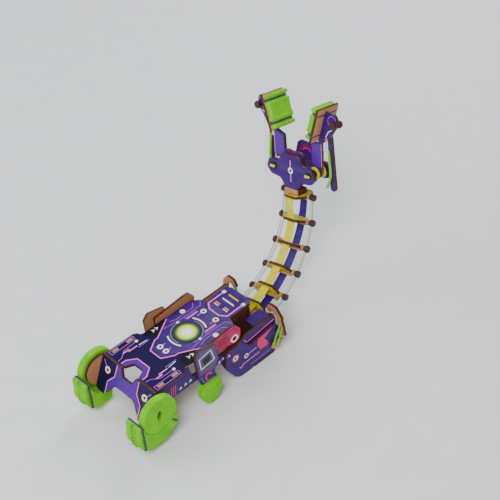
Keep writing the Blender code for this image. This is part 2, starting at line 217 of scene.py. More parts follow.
class Shader:
    """A material with short calls for its nodes; sockets and plain values can both be inputs."""

    def __init__(self, name):
        self.material = bpy.data.materials.new(name)
        self.material.use_nodes = True
        self.tree = self.material.node_tree
        self.surface = self.tree.nodes["Principled BSDF"]
        self.place = self.add("ShaderNodeTexCoord").outputs["Object"]

    def add(self, kind, inputs=(), **settings):
        made = self.tree.nodes.new(kind)
        for key, value in settings.items():
            setattr(made, key, value)
        for key, value in dict(inputs).items():
            self.give(made.inputs[key], value)
        return made

    def give(self, socket, value):
        if isinstance(value, bpy.types.NodeSocket):
            self.tree.links.new(value, socket)
        else:
            socket.default_value = value

    def set(self, **values):
        """Values for the surface shader, named with underscores for blanks."""
        for key, value in values.items():
            self.give(self.surface.inputs[key.replace("_", " ")], value)

    def mix(self, factor, first, second):
        made = self.add("ShaderNodeMix", {0: factor}, data_type="RGBA")
        for index, value in ((6, first), (7, second)):
            self.give(made.inputs[index], (*value, 1) if isinstance(value, tuple) else value)
        return made.outputs[2]

    def calc(self, operation, first, second):
        made = self.add("ShaderNodeMath", {0: first, 1: second}, operation=operation)
        return made.outputs[0]

    def vector(self, operation, first, second, output="Vector"):
        made = self.add("ShaderNodeVectorMath", {0: first, 1: second}, operation=operation)
        return made.outputs[output]

    def noise(self, scale, detail, place=None):
        made = self.add("ShaderNodeTexNoise",
                        {"Vector": place or self.place, "Scale": scale, "Detail": detail})
        return made.outputs["Fac"]

    def spread(self, value, low, high):
        """Stretches the middle of a noise to the whole range from low to high."""
        made = self.add("ShaderNodeMapRange", {"Value": value, "From Min": 0.3, "From Max": 0.7,
                                               "To Min": low, "To Max": high})
        return made.outputs["Result"]

    def bump(self, height, depth):
        """Relief with a depth in millimetres."""
        made = self.add("ShaderNodeBump", {"Height": height, "Distance": depth * MM,
                                           "Strength": 1.0})
        return made.outputs["Normal"]


RAW_LIGHT, RAW_DARK = (0.80, 0.58, 0.40), (0.64, 0.42, 0.26)
SCORCH_LIGHT, SCORCH_DARK = (0.38, 0.20, 0.10), (0.15, 0.07, 0.04)
FACE_LIMIT = 0.6                 # cosine within which a surface counts as a board's face
BARE_ROUGHNESS, CUT_ROUGHNESS = 0.78, 0.5


def board(name, face, front, back=None, gloss=0.38):
    """Board printed on the side that looks along `face`; bare behind, scorched where it was cut."""
    shader = Shader(name)
    normal = shader.add("ShaderNodeTexCoord").outputs["Normal"]
    facing = shader.vector("DOT_PRODUCT", normal, tuple(face), "Value")
    is_front = shader.calc("GREATER_THAN", facing, FACE_LIMIT)
    is_back = shader.calc("LESS_THAN", facing, -FACE_LIMIT)
    cloudy = shader.spread(shader.noise(170, 4), 0, 1)
    fibres = shader.noise(1500, 6)
    depth = shader.vector("DOT_PRODUCT", shader.place, tuple(face), "Value")
    through = shader.add("ShaderNodeVectorMath", {0: tuple(face), "Scale": depth},
                         operation="SCALE").outputs["Vector"]
    streaks = shader.noise(1300, 2, shader.vector("SUBTRACT", shader.place, through))
    raw = shader.mix(shader.spread(fibres, 0, 1), linear(RAW_DARK), linear(RAW_LIGHT))

    def printed(colour):
        deep = tuple(c * 0.80 for c in colour)
        return shader.mix(cloudy, linear(deep), linear(colour))

    edge = shader.mix(shader.spread(streaks, 0, 1), linear(SCORCH_DARK), linear(SCORCH_LIGHT))
    colour = shader.mix(is_front, edge, raw if front is None else printed(front))
    colour = shader.mix(is_back, colour, raw if back is None else printed(back))
    rough = shader.spread(shader.noise(600, 3), gloss, gloss + 0.14)
    rough = shader.calc("MAXIMUM", rough, shader.calc("SUBTRACT", CUT_ROUGHNESS, is_front))
    dull = BARE_ROUGHNESS if front is None else 0.0
    shader.set(Base_Color=colour, Roughness=shader.calc("MAXIMUM", rough, dull),
               Specular_IOR_Level=0.32)
    relief = shader.calc("ADD", fibres, streaks)
    shader.set(Normal=shader.bump(relief, 0.05))
    return shader.material


def mottled(name, colour, second, scale, roughness, depth):
    """Plain surface whose colour drifts between two tones, with a relief this deep in mm."""
    shader = Shader(name)
    cloud = shader.spread(shader.noise(scale, 4), 0, 1)
    fine = shader.noise(scale * 6, 3)
    shader.set(Base_Color=shader.mix(cloud, linear(second), linear(colour)),
               Roughness=shader.spread(fine, roughness - 0.07, roughness + 0.07),
               Specular_IOR_Level=0.3)
    if depth:
        shader.set(Normal=shader.bump(fine, depth))
    return shader.material


def foam_material():
    """Closed-cell foam: a fine skin of cells in two greens, with small pits darkened by painted
    shade.
    """
    shader = Shader("green_foam_skin")
    pale, deep, shade = (0.48, 0.83, 0.0), (0.38, 0.72, 0.0), (0.28, 0.58, 0.0)
    cells = shader.add("ShaderNodeTexVoronoi", {"Vector": shader.place, "Scale": 1500.0})
    pits = shader.add("ShaderNodeTexVoronoi", {"Vector": shader.place, "Scale": 420.0})
    pit = shader.calc("LESS_THAN", pits.outputs["Distance"], 0.16)
    cloud = shader.spread(shader.noise(90, 5), 0, 1)
    colour = shader.mix(cloud, linear(deep), linear(pale))
    # Painted shade: the pits are darkened towards the shade green.
    colour = shader.mix(shader.calc("MULTIPLY", pit, 0.28), colour, linear(shade))
    height = shader.calc("SUBTRACT", cells.outputs["Distance"], pit)
    shader.set(Base_Color=colour, Roughness=0.92, Specular_IOR_Level=0.2, Sheen_Weight=0.05,
               Normal=shader.bump(height, 0.10))
    return shader.material


def knob_material(name, matrix):
    """Cross bar: pale collar and rod, dark knob from KNOB_X outwards."""
    shader = Shader(name)
    across = direction(matrix, 0)
    from_middle = shader.vector("SUBTRACT", shader.place, tuple(matrix.translation))
    reach = shader.vector("DOT_PRODUCT", from_middle, tuple(across), "Value")
    outer = shader.calc("GREATER_THAN", shader.calc("ABSOLUTE", reach, 0.0), KNOB_X * MM)
    grain = shader.spread(shader.noise(1100, 5), 0, 1)
    pale = shader.mix(grain, linear((0.58, 0.40, 0.28)), linear((0.78, 0.60, 0.45)))
    dark = shader.mix(grain, linear((0.10, 0.05, 0.05)), linear((0.28, 0.15, 0.12)))
    shader.set(Base_Color=shader.mix(outer, pale, dark), Roughness=0.6,
               Normal=shader.bump(shader.noise(1800, 4), 0.08))
    return shader.material


EMBLEM_RADIUS = 14.0


def emblem_material():
    """Round glow: white core, lime ring, dark halo, from the distance to the body's middle."""
    shader = Shader("emblem_print")
    distance = shader.vector("DISTANCE", shader.place, tuple(BODY.translation), "Value")
    ramp = shader.add("ShaderNodeValToRGB",
                      {"Fac": shader.calc("MULTIPLY", distance, 1 / (EMBLEM_RADIUS * MM))})
    stops = ((0.0, (1, 1, 0.96)), (0.38, (1, 1, 0.93)), (0.47, (0.80, 0.93, 0.12)),
             (0.58, (0.90, 0.97, 0.30)), (0.66, (0.45, 0.70, 0.05)), (0.76, (0.25, 0.42, 0.08)),
             (0.88, (0.12, 0.10, 0.20)), (1.0, (0.16, 0.04, 0.36)))
    elements = ramp.color_ramp.elements
    for index, (at, colour) in enumerate(stops):
        spot = elements[index] if index < 2 else elements.new(at)
        spot.position = at
        spot.color = (*linear(colour), 1)
    shader.set(Base_Color=ramp.outputs["Color"],
               Roughness=shader.spread(shader.noise(600, 3), 0.3, 0.42))
    return shader.material


PURPLE, NAVY, YELLOW = (0.23, 0.02, 0.47), (0.07, 0.02, 0.27), (0.88, 0.84, 0.0)
HOT_PINK, INDIGO, LINK_BLUE = (0.86, 0.03, 0.40), (0.22, 0.12, 0.48), (0.24, 0.11, 0.46)
# Brown of the dark wooden pins and knobs; on the nose walls and the tops of their ribs it is painted
# shade.
BROWN = (0.34, 0.20, 0.16)
INKS = {
    "navy": NAVY, "violet": (0.34, 0.11, 0.62), "mauve": (0.38, 0.27, 0.48),
    "cream": (0.99, 0.98, 0.86), "pink": (0.98, 0.52, 0.84), "lilac": (0.68, 0.36, 0.88),
    "hot": (0.94, 0.08, 0.48), "red": (0.58, 0.03, 0.24), "grey": (0.50, 0.55, 0.62),
    "white": (0.98, 0.98, 0.99), "black": (0.03, 0.02, 0.07), "dark": (0.06, 0.02, 0.20),
}
INK = {name: mottled("ink_" + name, colour, tuple(c * 0.88 for c in colour), 500, 0.36, 0.0)
       for name, colour in INKS.items()}
FOAM = foam_material()
BAND = mottled("rubber_band", (0.28, 0.24, 0.42), (0.20, 0.16, 0.33), 700, 0.55, 0.08)
LIME_BAND = mottled("lime_band", (0.55, 0.84, 0.05), (0.44, 0.72, 0.02), 700, 0.5, 0.08)
CORD = mottled("white_cord", (0.95, 0.94, 0.92), (0.80, 0.79, 0.78), 1500, 0.75, 0.12)
THREAD = mottled("grey_thread", (0.50, 0.56, 0.50), (0.38, 0.44, 0.38), 1500, 0.6, 0.05)
TEAL = mottled("teal_cord", (0.42, 0.74, 0.66), (0.30, 0.60, 0.54), 1500, 0.6, 0.05)
WHITE_ROD = mottled("white_rod", (0.96, 0.96, 0.97), (0.88, 0.88, 0.90), 300, 0.4, 0.02)
TAN_WOOD = mottled("tan_wood", RAW_LIGHT, RAW_DARK, 900, 0.75, 0.1)
DARK_WOOD = mottled("dark_wood", BROWN, (0.16, 0.09, 0.08), 800, 0.6, 0.1)
YELLOW_STRIP = mottled("yellow_strip_skin", (0.89, 0.85, 0.0), (0.82, 0.77, 0.0), 220, 0.42, 0.02)
PURPLE_STRIP = mottled("purple_strip_skin", (0.23, 0.05, 0.54), (0.16, 0.02, 0.42), 220, 0.42, 0.02)


# -------------------------------------------- outlines
def circle(x, y, radius, sides):
    return arc(x, y, radius, 0, 360 - 360 / sides, sides - 1)


def arc(x, y, radius, start, end, pieces):
    angles = [math.radians(start + (end - start) * i / pieces) for i in range(pieces + 1)]
    return [Vector((x + radius * math.cos(a), y + radius * math.sin(a))) for a in angles]


def box_outline(x0, y0, x1, y1, radius=0.0):
    if not radius:
        return [Vector(p) for p in ((x0, y0), (x1, y0), (x1, y1), (x0, y1))]
    r = radius
    return (arc(x1 - r, y1 - r, r, 0, 90, 4) + arc(x0 + r, y1 - r, r, 90, 180, 4)
            + arc(x0 + r, y0 + r, r, 180, 270, 4) + arc(x1 - r, y0 + r, r, 270, 360, 4))


def mirrored(points):
    """Whole outline from its right half, which starts and ends at the middle."""
    return list(points) + [(-x, y) for x, y in reversed(points) if abs(x) > 1e-6]


def offset(points, distance, closed):
    """Points moved sideways, to the right of the way they run."""
    points = [Vector(p[:2]) for p in points]
    count = len(points)
    moved = []
    for i, point in enumerate(points):
        before = points[i - 1] if closed or i else None
        after = points[(i + 1) % count] if closed or i < count - 1 else None
        ways = [(b - a).normalized() for a, b in ((before, point), (point, after))
                if a is not None and b is not None]
        sides = [Vector((way.y, -way.x)) for way in ways]
        middle = (sides[0] + sides[-1]).normalized()
        moved.append(point + middle * distance / max(0.35, middle.dot(sides[0])))
    return moved


# A flat shape is (left edge, right edge, closed): a band between two edges, or a filled outline
# when it has no right edge.
def fill(outline):
    return [Vector(p[:2]) for p in outline], None, True


def line(points, width, closed=False):
    return offset(points, -width / 2, closed), offset(points, width / 2, closed), closed


def ring(x, y, radius, width):
    return line(circle(x, y, radius, 28), width, True)


def dot(x, y, radius):
    return fill(circle(x, y, radius, 24))


def curve_line(x, y, radius, start, end, width):
    return line(arc(x, y, radius, start, end, 16), width)


def both(make, *points):
    """The same shape on the right and, mirrored, on the left."""
    return [make([(side * x, y) for x, y in points]) for side in (-1, 1)]


# -------------------------------------------- solids
def add_mesh(name, verts, faces, material, smooth=False):
    mesh = bpy.data.meshes.new(name)
    mesh.from_pydata(verts, [], faces)
    work = bmesh.new()
    work.from_mesh(mesh)
    bmesh.ops.recalc_face_normals(work, faces=work.faces)
    work.to_mesh(mesh)
    work.free()
    if smooth:
        mesh.shade_smooth()
    mesh.materials.append(material)
    return add_object(name, mesh)


def solid(name, matrix, body, shapes, low, high, material, round_edge=0.0):
    """Flat shapes as closed solids between two heights of a frame, riding on a body."""
    verts, faces = [], []
    for left, right, closed in shapes:
        start, count = len(verts), len(left)
        loops = [left] if right is None else [left, right]
        for loop in loops:
            verts += [(p.x, p.y, low) for p in loop] + [(p.x, p.y, high) for p in loop]

        def corner(loop, level, i):
            return start + loop * 2 * count + level * count + i % count

        for i in range(count if closed else count - 1):
            for loop in range(len(loops)):
                faces.append((corner(loop, 0, i), corner(loop, 0, i + 1),
                              corner(loop, 1, i + 1), corner(loop, 1, i)))
            if right is not None:
                for level in (0, 1):
                    faces.append((corner(0, level, i), corner(0, level, i + 1),
                                  corner(1, level, i + 1), corner(1, level, i)))
        if right is None:
            faces += [tuple(corner(0, level, i) for i in range(count)) for level in (0, 1)]
        elif not closed:
            faces += [(corner(0, 0, i), corner(0, 1, i), corner(1, 1, i), corner(1, 0, i))
                      for i in (0, count - 1)]
    obj = add_mesh(name, [matrix @ (Vector(v) * MM) for v in verts], faces, material)
    if round_edge:
        bevel = obj.modifiers.new("round_edges", "BEVEL")
        bevel.width, bevel.segments, bevel.limit_method = round_edge * MM, 2, "ANGLE"
    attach(obj, body)


def printed(name, matrix, body, level, **shapes):
    """Thin layers of ink on a face at the frame's height 0; a higher level lies on a lower one."""
    for ink, flat in shapes.items():
        low = INK_LIFT + INK_STEP * level
        solid(f"{name}_{ink}", matrix, body, flat, low, low + INK_THICKNESS, INK[ink])


def tube_rings(points, radius, sides):
    """Rings of points round a path, all in metres."""
    oblique = Vector((0.3, 0.5, 0.81))
    rings = []
    for i, point in enumerate(points):
        way = (points[min(i + 1, len(points) - 1)] - points[max(i - 1, 0)]).normalized()
        side = oblique.cross(way).normalized()
        up = way.cross(side)
        rings.append([point + (side * math.cos(a) + up * math.sin(a)) * radius
                      for a in (2 * math.pi * s / sides for s in range(sides))])
    return rings


def skin(rings):
    """Vertices and faces of a closed tube through rings of equal size."""
    size = len(rings[0])
    verts = [p for ring_points in rings for p in ring_points]
    faces = [tuple(reversed(range(size))), tuple(len(verts) - size + i for i in range(size))]
    for r in range(len(rings) - 1):
        for i in range(size):
            a, b = r * size + i, r * size + (i + 1) % size
            faces.append((a, b, b + size, a + size))
    return verts, faces


def tubes(name, paths, radius, material, sides=8):
    """Round tubes along paths of points in metres, as one piece; the radius is in millimetres."""
    verts, faces = [], []
    for path in paths:
        new_verts, new_faces = skin(tube_rings(path, radius * MM, sides))
        faces += [tuple(len(verts) + i for i in face) for face in new_faces]
        verts += new_verts
    return add_mesh(name, verts, faces, material, smooth=True)


def bent_path(matrix, points):
    """Smooth path in metres through points in millimetres of a frame."""
    pieces = 10
    points = [matrix @ (Vector(p) * MM) for p in points]
    ends = [points[0] * 2 - points[1], *points, points[-1] * 2 - points[-2]]
    path = []
    for a, b, c, d in zip(ends, ends[1:], ends[2:], ends[3:]):
        for i in range(pieces):
            t = i / pieces
            path.append(0.5 * (2 * b + (c - a) * t + (2 * a - 5 * b + 4 * c - d) * t * t
                               + (3 * b - a - 3 * c + d) * t ** 3))
    return path + [points[-1]]


# -------------------------------------------- CAD boards
WELD, SLIVER = 0.00001, 0.000002   # metres: nearer corners are joined, shorter edges removed
FLAT, SHARP = math.radians(1), math.radians(40)   # edges below the first go, above the second bevel
CREASE = math.radians(28)                         # edges above this are shaded as corners


def welded(node):
    """Editable copy of a CAD node's mesh with its corners joined."""
    work = bmesh.new()
    work.from_mesh(NODES[node].data)
    bmesh.ops.remove_doubles(work, verts=work.verts, dist=WELD)
    return work


def finish_node(node, material, edge=0.22):
    """The CAD node's shape with slightly broken edges and a better material, in its place."""
    source = NODES[node]
    work = welded(node)
    bmesh.ops.dissolve_limit(work, angle_limit=FLAT, verts=work.verts, edges=work.edges)
    sharp = [e for e in work.edges if e.is_manifold and e.calc_face_angle() > SHARP]
    bmesh.ops.bevel(work, geom=sharp, offset=edge * MM, segments=2, profile=0.5,
                    affect="EDGES", clamp_overlap=True)
    bmesh.ops.dissolve_degenerate(work, dist=SLIVER, edges=work.edges)
    mesh = bpy.data.meshes.new(node + "_finished")
    work.to_mesh(mesh)
    work.free()
    mesh.shade_smooth()
    mesh.set_sharp_from_angle(angle=CREASE)
    mesh.materials.append(material)
    finished = add_object(node + "_finished", mesh)
    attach(finished, source.parent.name.removeprefix("body:"))
    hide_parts(node)


def finish_boards():
    up = Vector((0, 0, 1))
    finish_node("top_plate", board("top_print", up, PURPLE))
    finish_node("rear_plate", board("rear_print", direction(REAR, 2), NAVY))
    finish_node("floor_plate", board("floor_print", up, PURPLE))
    for side_name, side in SIDES:
        out = Vector((side, 0, 0))
        side_board = board("side_print_" + side_name, out, PURPLE)
        for node in ("side_plate_", "lobe_plate_"):
            finish_node(node + side_name, side_board)
        finish_node("grip_disc_" + side_name, board("disc_board_" + side_name, out, None))
        # The nose walls are brown on both faces as painted shade, for walls that stand in shadow.
        finish_node("nose_wall_" + side_name,
                    board("wall_board_" + side_name, out, BROWN, BROWN, 0.7))
        finish_node("trigger_lever_" + side_name, board("lever_print_" + side_name, out, HOT_PINK))
        finish_node("trigger_plate_" + side_name, board("trigger_print_" + side_name, out, INDIGO))
        finish_node("nose_ear_" + side_name,
                    board("ear_board_" + side_name, Vector((0, 1, 0)), None))
        finish_node("claw_arm_" + side_name, board("arm_print_" + side_name, direction(HEAD, 2),
                                                   PURPLE))
        pad_out = pad_axes(side)[0]
        finish_node("claw_board_" + side_name, board("claw_board_wood_" + side_name, pad_out, None))
        finish_node("claw_pin_" + side_name, DARK_WOOD, 0.3)
    head_board = board("head_print", direction(HEAD, 2), PURPLE)
    for layer in ("front", "middle", "back"):
        finish_node(f"head_{layer}_plate", head_board)
    finish_node("head_block", board("block_wood", direction(HEAD, 2), None))
    finish_node("neck_base", board("neck_base_wood", up, None))
    for node in ("trigger_axle", "neck_pin"):
        finish_node(node, DARK_WOOD, 0.3)
    for number, matrix in enumerate(STATIONS, start=1):
        plate = "head_collar" if number > NECK_JOINTS else f"neck_plate_{number}"
        finish_node(plate, board(f"yellow_print_{number}", direction(matrix, 1), YELLOW, YELLOW))
        finish_node(f"knob_bar_{number}", knob_material(f"knob_wood_{number}", matrix), 0.3)


# -------------------------------------------- foam
FOAM_UNEVEN, FOAM_LUMPS = 0.12, 260.0   # height of the foam's unevenness, and how dense it is
SWELL = 0.3                             # height of the foam beside a groove, in groove depths
SWELL_PLACE, SWELL_WIDTH = 2.4, 1.1     # where that is and how wide, in groove widths


def foam_core(node, cell):
    """Mesh of even cells in the shape of a CAD foam solid."""
    work = welded(node)
    mesh = bpy.data.meshes.new(node + "_core")
    work.to_mesh(mesh)
    work.free()
    core = add_object(node + "_core", mesh)
    remesh = core.modifiers.new("cells", "REMESH")
    remesh.mode, remesh.voxel_size = "VOXEL", cell * MM
    evaluated = core.evaluated_get(bpy.context.evaluated_depsgraph_get())
    mesh = bpy.data.meshes.new_from_object(evaluated)
    bpy.data.objects.remove(core)
    return mesh


def groove_rise(vert, point, way, depth, width, facing):
    """Rise of the foam at a vertex: below zero in the groove, above zero beside it."""
    share = min(1.0, max(0.0, 2.0 * vert.normal.dot(facing) - 0.4)) if facing else 1.0
    away = abs((vert.co - point).dot(way)) / MM / width
    swell = SWELL * math.exp(-((away - SWELL_PLACE) / SWELL_WIDTH) ** 2)
    return share * depth * (swell - math.exp(-away ** 2))


def foam(node, body, grooves=(), cell=0.55, rounds=6):
    """Soft, rounded copy of a CAD foam solid.

    Each groove is (point, direction, depth, width, facing): the foam sinks along the plane
    through the point and swells a little on both sides of it, only where its surface looks along
    `facing` if that is given.
    """
    mesh = foam_core(node, cell)
    work = bmesh.new()
    work.from_mesh(mesh)
    for _ in range(rounds):
        bmesh.ops.smooth_vert(work, verts=work.verts, factor=0.5, use_axis_x=True,
                              use_axis_y=True, use_axis_z=True)
    work.normal_update()
    moves = []
    for vert in work.verts:
        rise = FOAM_UNEVEN * noise.noise(vert.co * FOAM_LUMPS)
        for groove in grooves:
            rise += groove_rise(vert, *groove)
        moves.append(vert.normal * rise * MM)
    for vert, move in zip(work.verts, moves):
        vert.co += move
    work.to_mesh(mesh)
    work.free()
    mesh.shade_smooth()
    mesh.materials.clear()
    mesh.materials.append(FOAM)
    soft = add_object(node + "_soft", mesh)
    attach(soft, body)
    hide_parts(node)


def band_round(name, matrix, body, outline, width, thickness, centre=0.0):
    """Rubber band that lies round an outline of its frame."""
    shape = (offset(outline, 0.05, True), offset(outline, thickness, True), True)
    half = width / 2
    solid(name, matrix, body, [shape], centre - half, centre + half, BAND, 0.25)


def grips():
    """Grips with a band over the rear end and one over the front end of the palm foam."""
    rear_y, front_turn = -97.0, math.radians(-50)
    slit_x, slit_z = 37.6, -31.0
    outside = 46.8
    rear_outline = box_outline(28.2, -44.6, outside, -14.5, 1.6)
    front_outline = box_outline(39.4, 20.3, outside, 26.6, 1.4)
    width, thickness = 1.5, 0.8
    out = Vector((0, math.cos(front_turn), math.sin(front_turn)))
    along = Vector((0, -math.sin(front_turn), math.cos(front_turn)))
    across, behind, up = Vector((1, 0, 0)), Vector((0, -1, 0)), Vector((0, 0, 1))
    for side_name, side in SIDES:
        rear = BODY @ axes((side, 0, 0), up, behind, (0, rear_y, 0))
        band_round(f"grip_band_{side_name}_1", rear, "base", rear_outline, width, thickness)
        front = BODY @ axes((side, 0, 0), out, along, (0, GRIP_Y, GRIP_Z))
        band_round(f"grip_band_{side_name}_2", front, "base", front_outline, width, thickness)
        foam("grip_foam_" + side_name, "base")
        slit = BODY @ (Vector((side * slit_x, 0, slit_z)) * MM)
        grooves = [(rear.translation, -behind, 0.7, 1.3, None),
                   (front.translation, along, 0.7, 1.3, None),
                   (slit, across, 4.5, 0.75, behind),
                   (slit, up, 2.6, 0.6, behind)]
        foam("grip_wrap_" + side_name, "base", grooves, 0.4, 5)
        foam("trigger_pad_" + side_name, "trigger_" + side_name, rounds=30)


# -------------------------------------------- printed lines of the body
TOP_NOTCH = [(0, -58.2), (6.2, -58.2), (10.3, -66.7)]
REAR_PANEL = [(26.8, -1.5), (14.2, -23.5), (14.2, -27.0), (7.3, -38.2)]   # its edge to the front
TOP_RINGS = ((8.4, 28.3, -7.6), (4.0, -29.0, 6.2))   # place, and where the line from it ends


def top_panels():
    rear = TOP_NOTCH + [(35.7, -66.7), (35.7, -35.0), (33.2, -31.8), (28.9, -30.2), (28.9, -4.0)]
    panel = mirrored(rear + REAR_PANEL + [(0, -38.2)])
    printed("top_print", BODY, "base", 0, navy=[fill(panel)])
    violet = TOP_NOTCH + [(14.2, -66.6), (13.8, -61.3), (7.9, -53.5), (0, -53.5)]
    black = [(28.7, -29.4), (21.0, -27.6), (16.8, -21.6), (25.6, -6.6), (28.7, -4.6)]
    channel = [(29.6, -64.6), (33.6, -64.6), (33.6, -38.0), (29.6, -38.0)]
    printed("top_panel", BODY, "base", 1, violet=[fill(mirrored(violet))],
            black=both(fill, *black), dark=both(fill, *channel))


def top_lines():
    def thin(points):
        return line(points, 0.7)

    lilac = both(thin, (21.6, 35.8), (16.6, 31.8), (16.2, 8.0), (19.2, -11.8))
    lilac += both(thin, (24.6, 29.0), (19.6, 25.2), (19.4, 4.0), (22.0, -2.5))
    lilac += both(thin, (14.3, 24.0), (14.3, 9.5)) + both(thin, (18.6, -42.6), (18.6, -29.8))
    lilac += both(thin, (25.9, -39.3), (25.2, -54.5), (19.8, -61.5), (18.9, -66.4))
    lilac += both(thin, (29.4, -37.4), (34.2, -37.4), (34.2, -65.2), (29.0, -65.2), (29.0, -38.0))
    grey = [curve_line(0, 0, 15.0, start, start + 130, 0.8) for start in (-20, 160)]
    white = both(thin, (19.8, -31.4), (20.8, -40.5))
    for side in (-1, 1):
        for x, y, tail in TOP_RINGS:
            start = y + math.copysign(3.0, tail)
            lilac.append(line([(side * x, start), (side * x, y + tail)], 1.2))
        for y in (-13.5, -17.7):
            arrow = [(24.6, y), (27.0, y - 3.6), (24.7, y - 2.6), (22.4, y - 3.8)]
            white.append(fill([(side * x, y) for x, y in arrow]))
    printed("top_lines", BODY, "base", 2, lilac=lilac, grey=grey, white=white)


def top_borders():
    def wide(points):
        return line(points, 1.35)

    middle_line = [(-x, y) for x, y in REAR_PANEL] + REAR_PANEL[::-1]
    hexagon = [(-14.9, -66.4), (-14.5, -61.0), (-8.3, -52.7), (8.3, -52.7), (14.5, -61.0),
               (14.9, -66.4)]
    nose = [(-13.0, 58.8), (-13.0, 38.6), (-6.4, 34.2), (6.4, 34.2), (13.0, 38.6), (13.0, 58.8)]
    pink = [line(middle_line, 1.15), line(hexagon, 1.2), line(nose, 1.5)]
    pink += both(wide, (12.4, 24.5), (12.4, 11.0)) + both(wide, (21.0, -52.4), (21.0, -42.2))
    pink += both(wide, (23.0, -57.5), (23.0, -50.0))
    printed("top_borders", BODY, "base", 3, pink=pink)


def top_dots():
    cream, dark = [], []
    for side in (-1, 1):
        for x, y, _ in TOP_RINGS:
            cream.append(ring(side * x, y, 2.15, 1.75))
            dark.append(dot(side * x, y, 1.15))
        cream += [dot(side * 22.9, 15.0, 2.7), dot(side * 15.5, 2.3, 1.35),
                  dot(side * 25.9, -38.9, 1.6), dot(side * 13.0, 58.9, 2.1)]
    cream += [curve_line(0, 0, 18.0, start, start + 62, 1.6) for start in (59, 239)]
    printed("top_dots", BODY, "base", 4, cream=cream, dark=dark)


def top_emblem():
    low, high = 0.11, 0.18
    disc = fill(circle(0, 0, EMBLEM_RADIUS, 64))
    solid("top_emblem", BODY, "base", [disc], low, high, emblem_material())


def deck_tabs():
    """Ends of the side plates' tabs in the deck's slots."""
    for side_name, side in SIDES:
        x = side * 31.5
        tabs = [fill(box_outline(x - 1.45, y - 3.4, x + 1.45, y + 3.4)) for y in (-59.5, -42.5)]
        solid("deck_tabs_" + side_name, BODY, "base", tabs, 0.0, 0.45, TAN_WOOD, 0.15)


def nose_inserts():
    """Board tabs with white strips of painted highlight on their rear edges, a white bar and a yellow
    bar that stand in the nose's slots.
    """
    tabs, highlight_strips = [], []
    for x in (-6.0, 6.0):
        tabs.append(fill(box_outline(x - 3.0, 42.8, x + 3.0, 45.4)))
        # White strip of painted highlight along each tab's rear edge.
        highlight_strips.append(fill(box_outline(x - 3.0, 41.9, x + 3.0, 42.6)))
    white_bar = [fill(box_outline(-7.6, 51.4, 7.6, 52.6, 0.5))]
    yellow_bar = [fill(box_outline(-6.6, 58.4, 6.6, 59.6, 0.5))]
    solid("nose_tabs", BODY, "base", tabs, -2.6, 1.3, TAN_WOOD, 0.2)
    solid("nose_tab_rims", BODY, "base", highlight_strips, 0.05, 0.7, WHITE_ROD, 0.1)
    solid("nose_white_bar", BODY, "base", white_bar, -2.6, 0.9, WHITE_ROD, 0.2)
    solid("nose_yellow_bar", BODY, "base", yellow_bar, -2.6, 1.0, YELLOW_STRIP, 0.2)


def nose_inside():
    """Ribs on the nose's walls and the small deck on each side of them."""
    up = Vector((0, 0, 1))
    deck_board = board("inner_deck_print", up, PURPLE)
    # The ribs' upward faces take the brown as painted shade; their other faces keep the scorched and
    # bare board colours.
    rib_wood = board("rib_wood", up, BROWN, gloss=0.6)
    for side_name, side in SIDES:
        wall = side_frame(side, WALL_FACE)
        ribs = [fill(box_outline(y, -13.4, y + 1.7, -3.6, 0.3))
                for y in (43.0, 46.4, 49.8, 53.2, 56.6, 60.0)]
        solid("nose_ribs_" + side_name, wall, "base", ribs, 0.05, 1.3, rib_wood, 0.2)
        x = side * 23.0
        deck = [fill(box_outline(x - 6.6, 55.4, x + 6.6, 75.5, 1.5))]
        solid("inner_deck_" + side_name, BODY, "base", deck, -17.2, -14.4, deck_board, 0.2)


def print_rear():
    face = REAR @ shift(0, 0, SHEET)
    centre = [(0, -8.4), (6.3, -8.4), (10.2, -0.6), (14.6, -0.6), (15.0, -13.2), (22.2, -21.8),
              (22.4, -33.5), (13.6, -21.7), (0, -21.2)]
    pink = both(lambda p: line(p, 1.1), (15.0, -0.6), (15.4, -13.0), (22.8, -21.6), (22.8, -34.6))
    lilac = both(lambda p: line(p, 1.0), (32.4, -3.5), (28.0, -8.6))
    cream, dark = [], []
    for side in (-1, 1):
        cream.append(ring(side * 25.6, -11.2, 2.5, 2.0))
        dark.append(dot(side * 25.6, -11.2, 1.5))
    printed("rear_panel", face, "base", 0, violet=[fill(mirrored(centre))])
    printed("rear_lines", face, "base", 1, pink=pink, lilac=lilac, cream=cream, dark=dark)


def triangle(y, z, size):
    return fill([(y - size, z - size * 0.55), (y + size * 0.9, z - size * 0.45),
                 (y + size * 0.35, z + size * 0.95)])


def print_side_plate(side_name, side):
    face = side_frame(side, SIDE_FACE)
    places = ((-40, -19), (-34, -18.6), (-28, -18.4), (7.0, -22.4), (11.6, -21.4))
    white = [triangle(y, z, 1.9) for y, z in places]
    hot = [line([(y - 0.8, -22.6), (y + 0.8, -10.5)], 0.9) for y in (-50.5, -48.2, -45.9)]
    pink = [line([(38.8, -18.2), (42.2, -22.8), (77.5, -18.6)], 1.1)]
    lilac = [line([(-70.5, -22.4), (-58, -21.8), (-53, -14)], 0.8)]
    printed("side_lines_" + side_name, face, "base", 0, white=white, hot=hot, pink=pink,
            lilac=lilac)


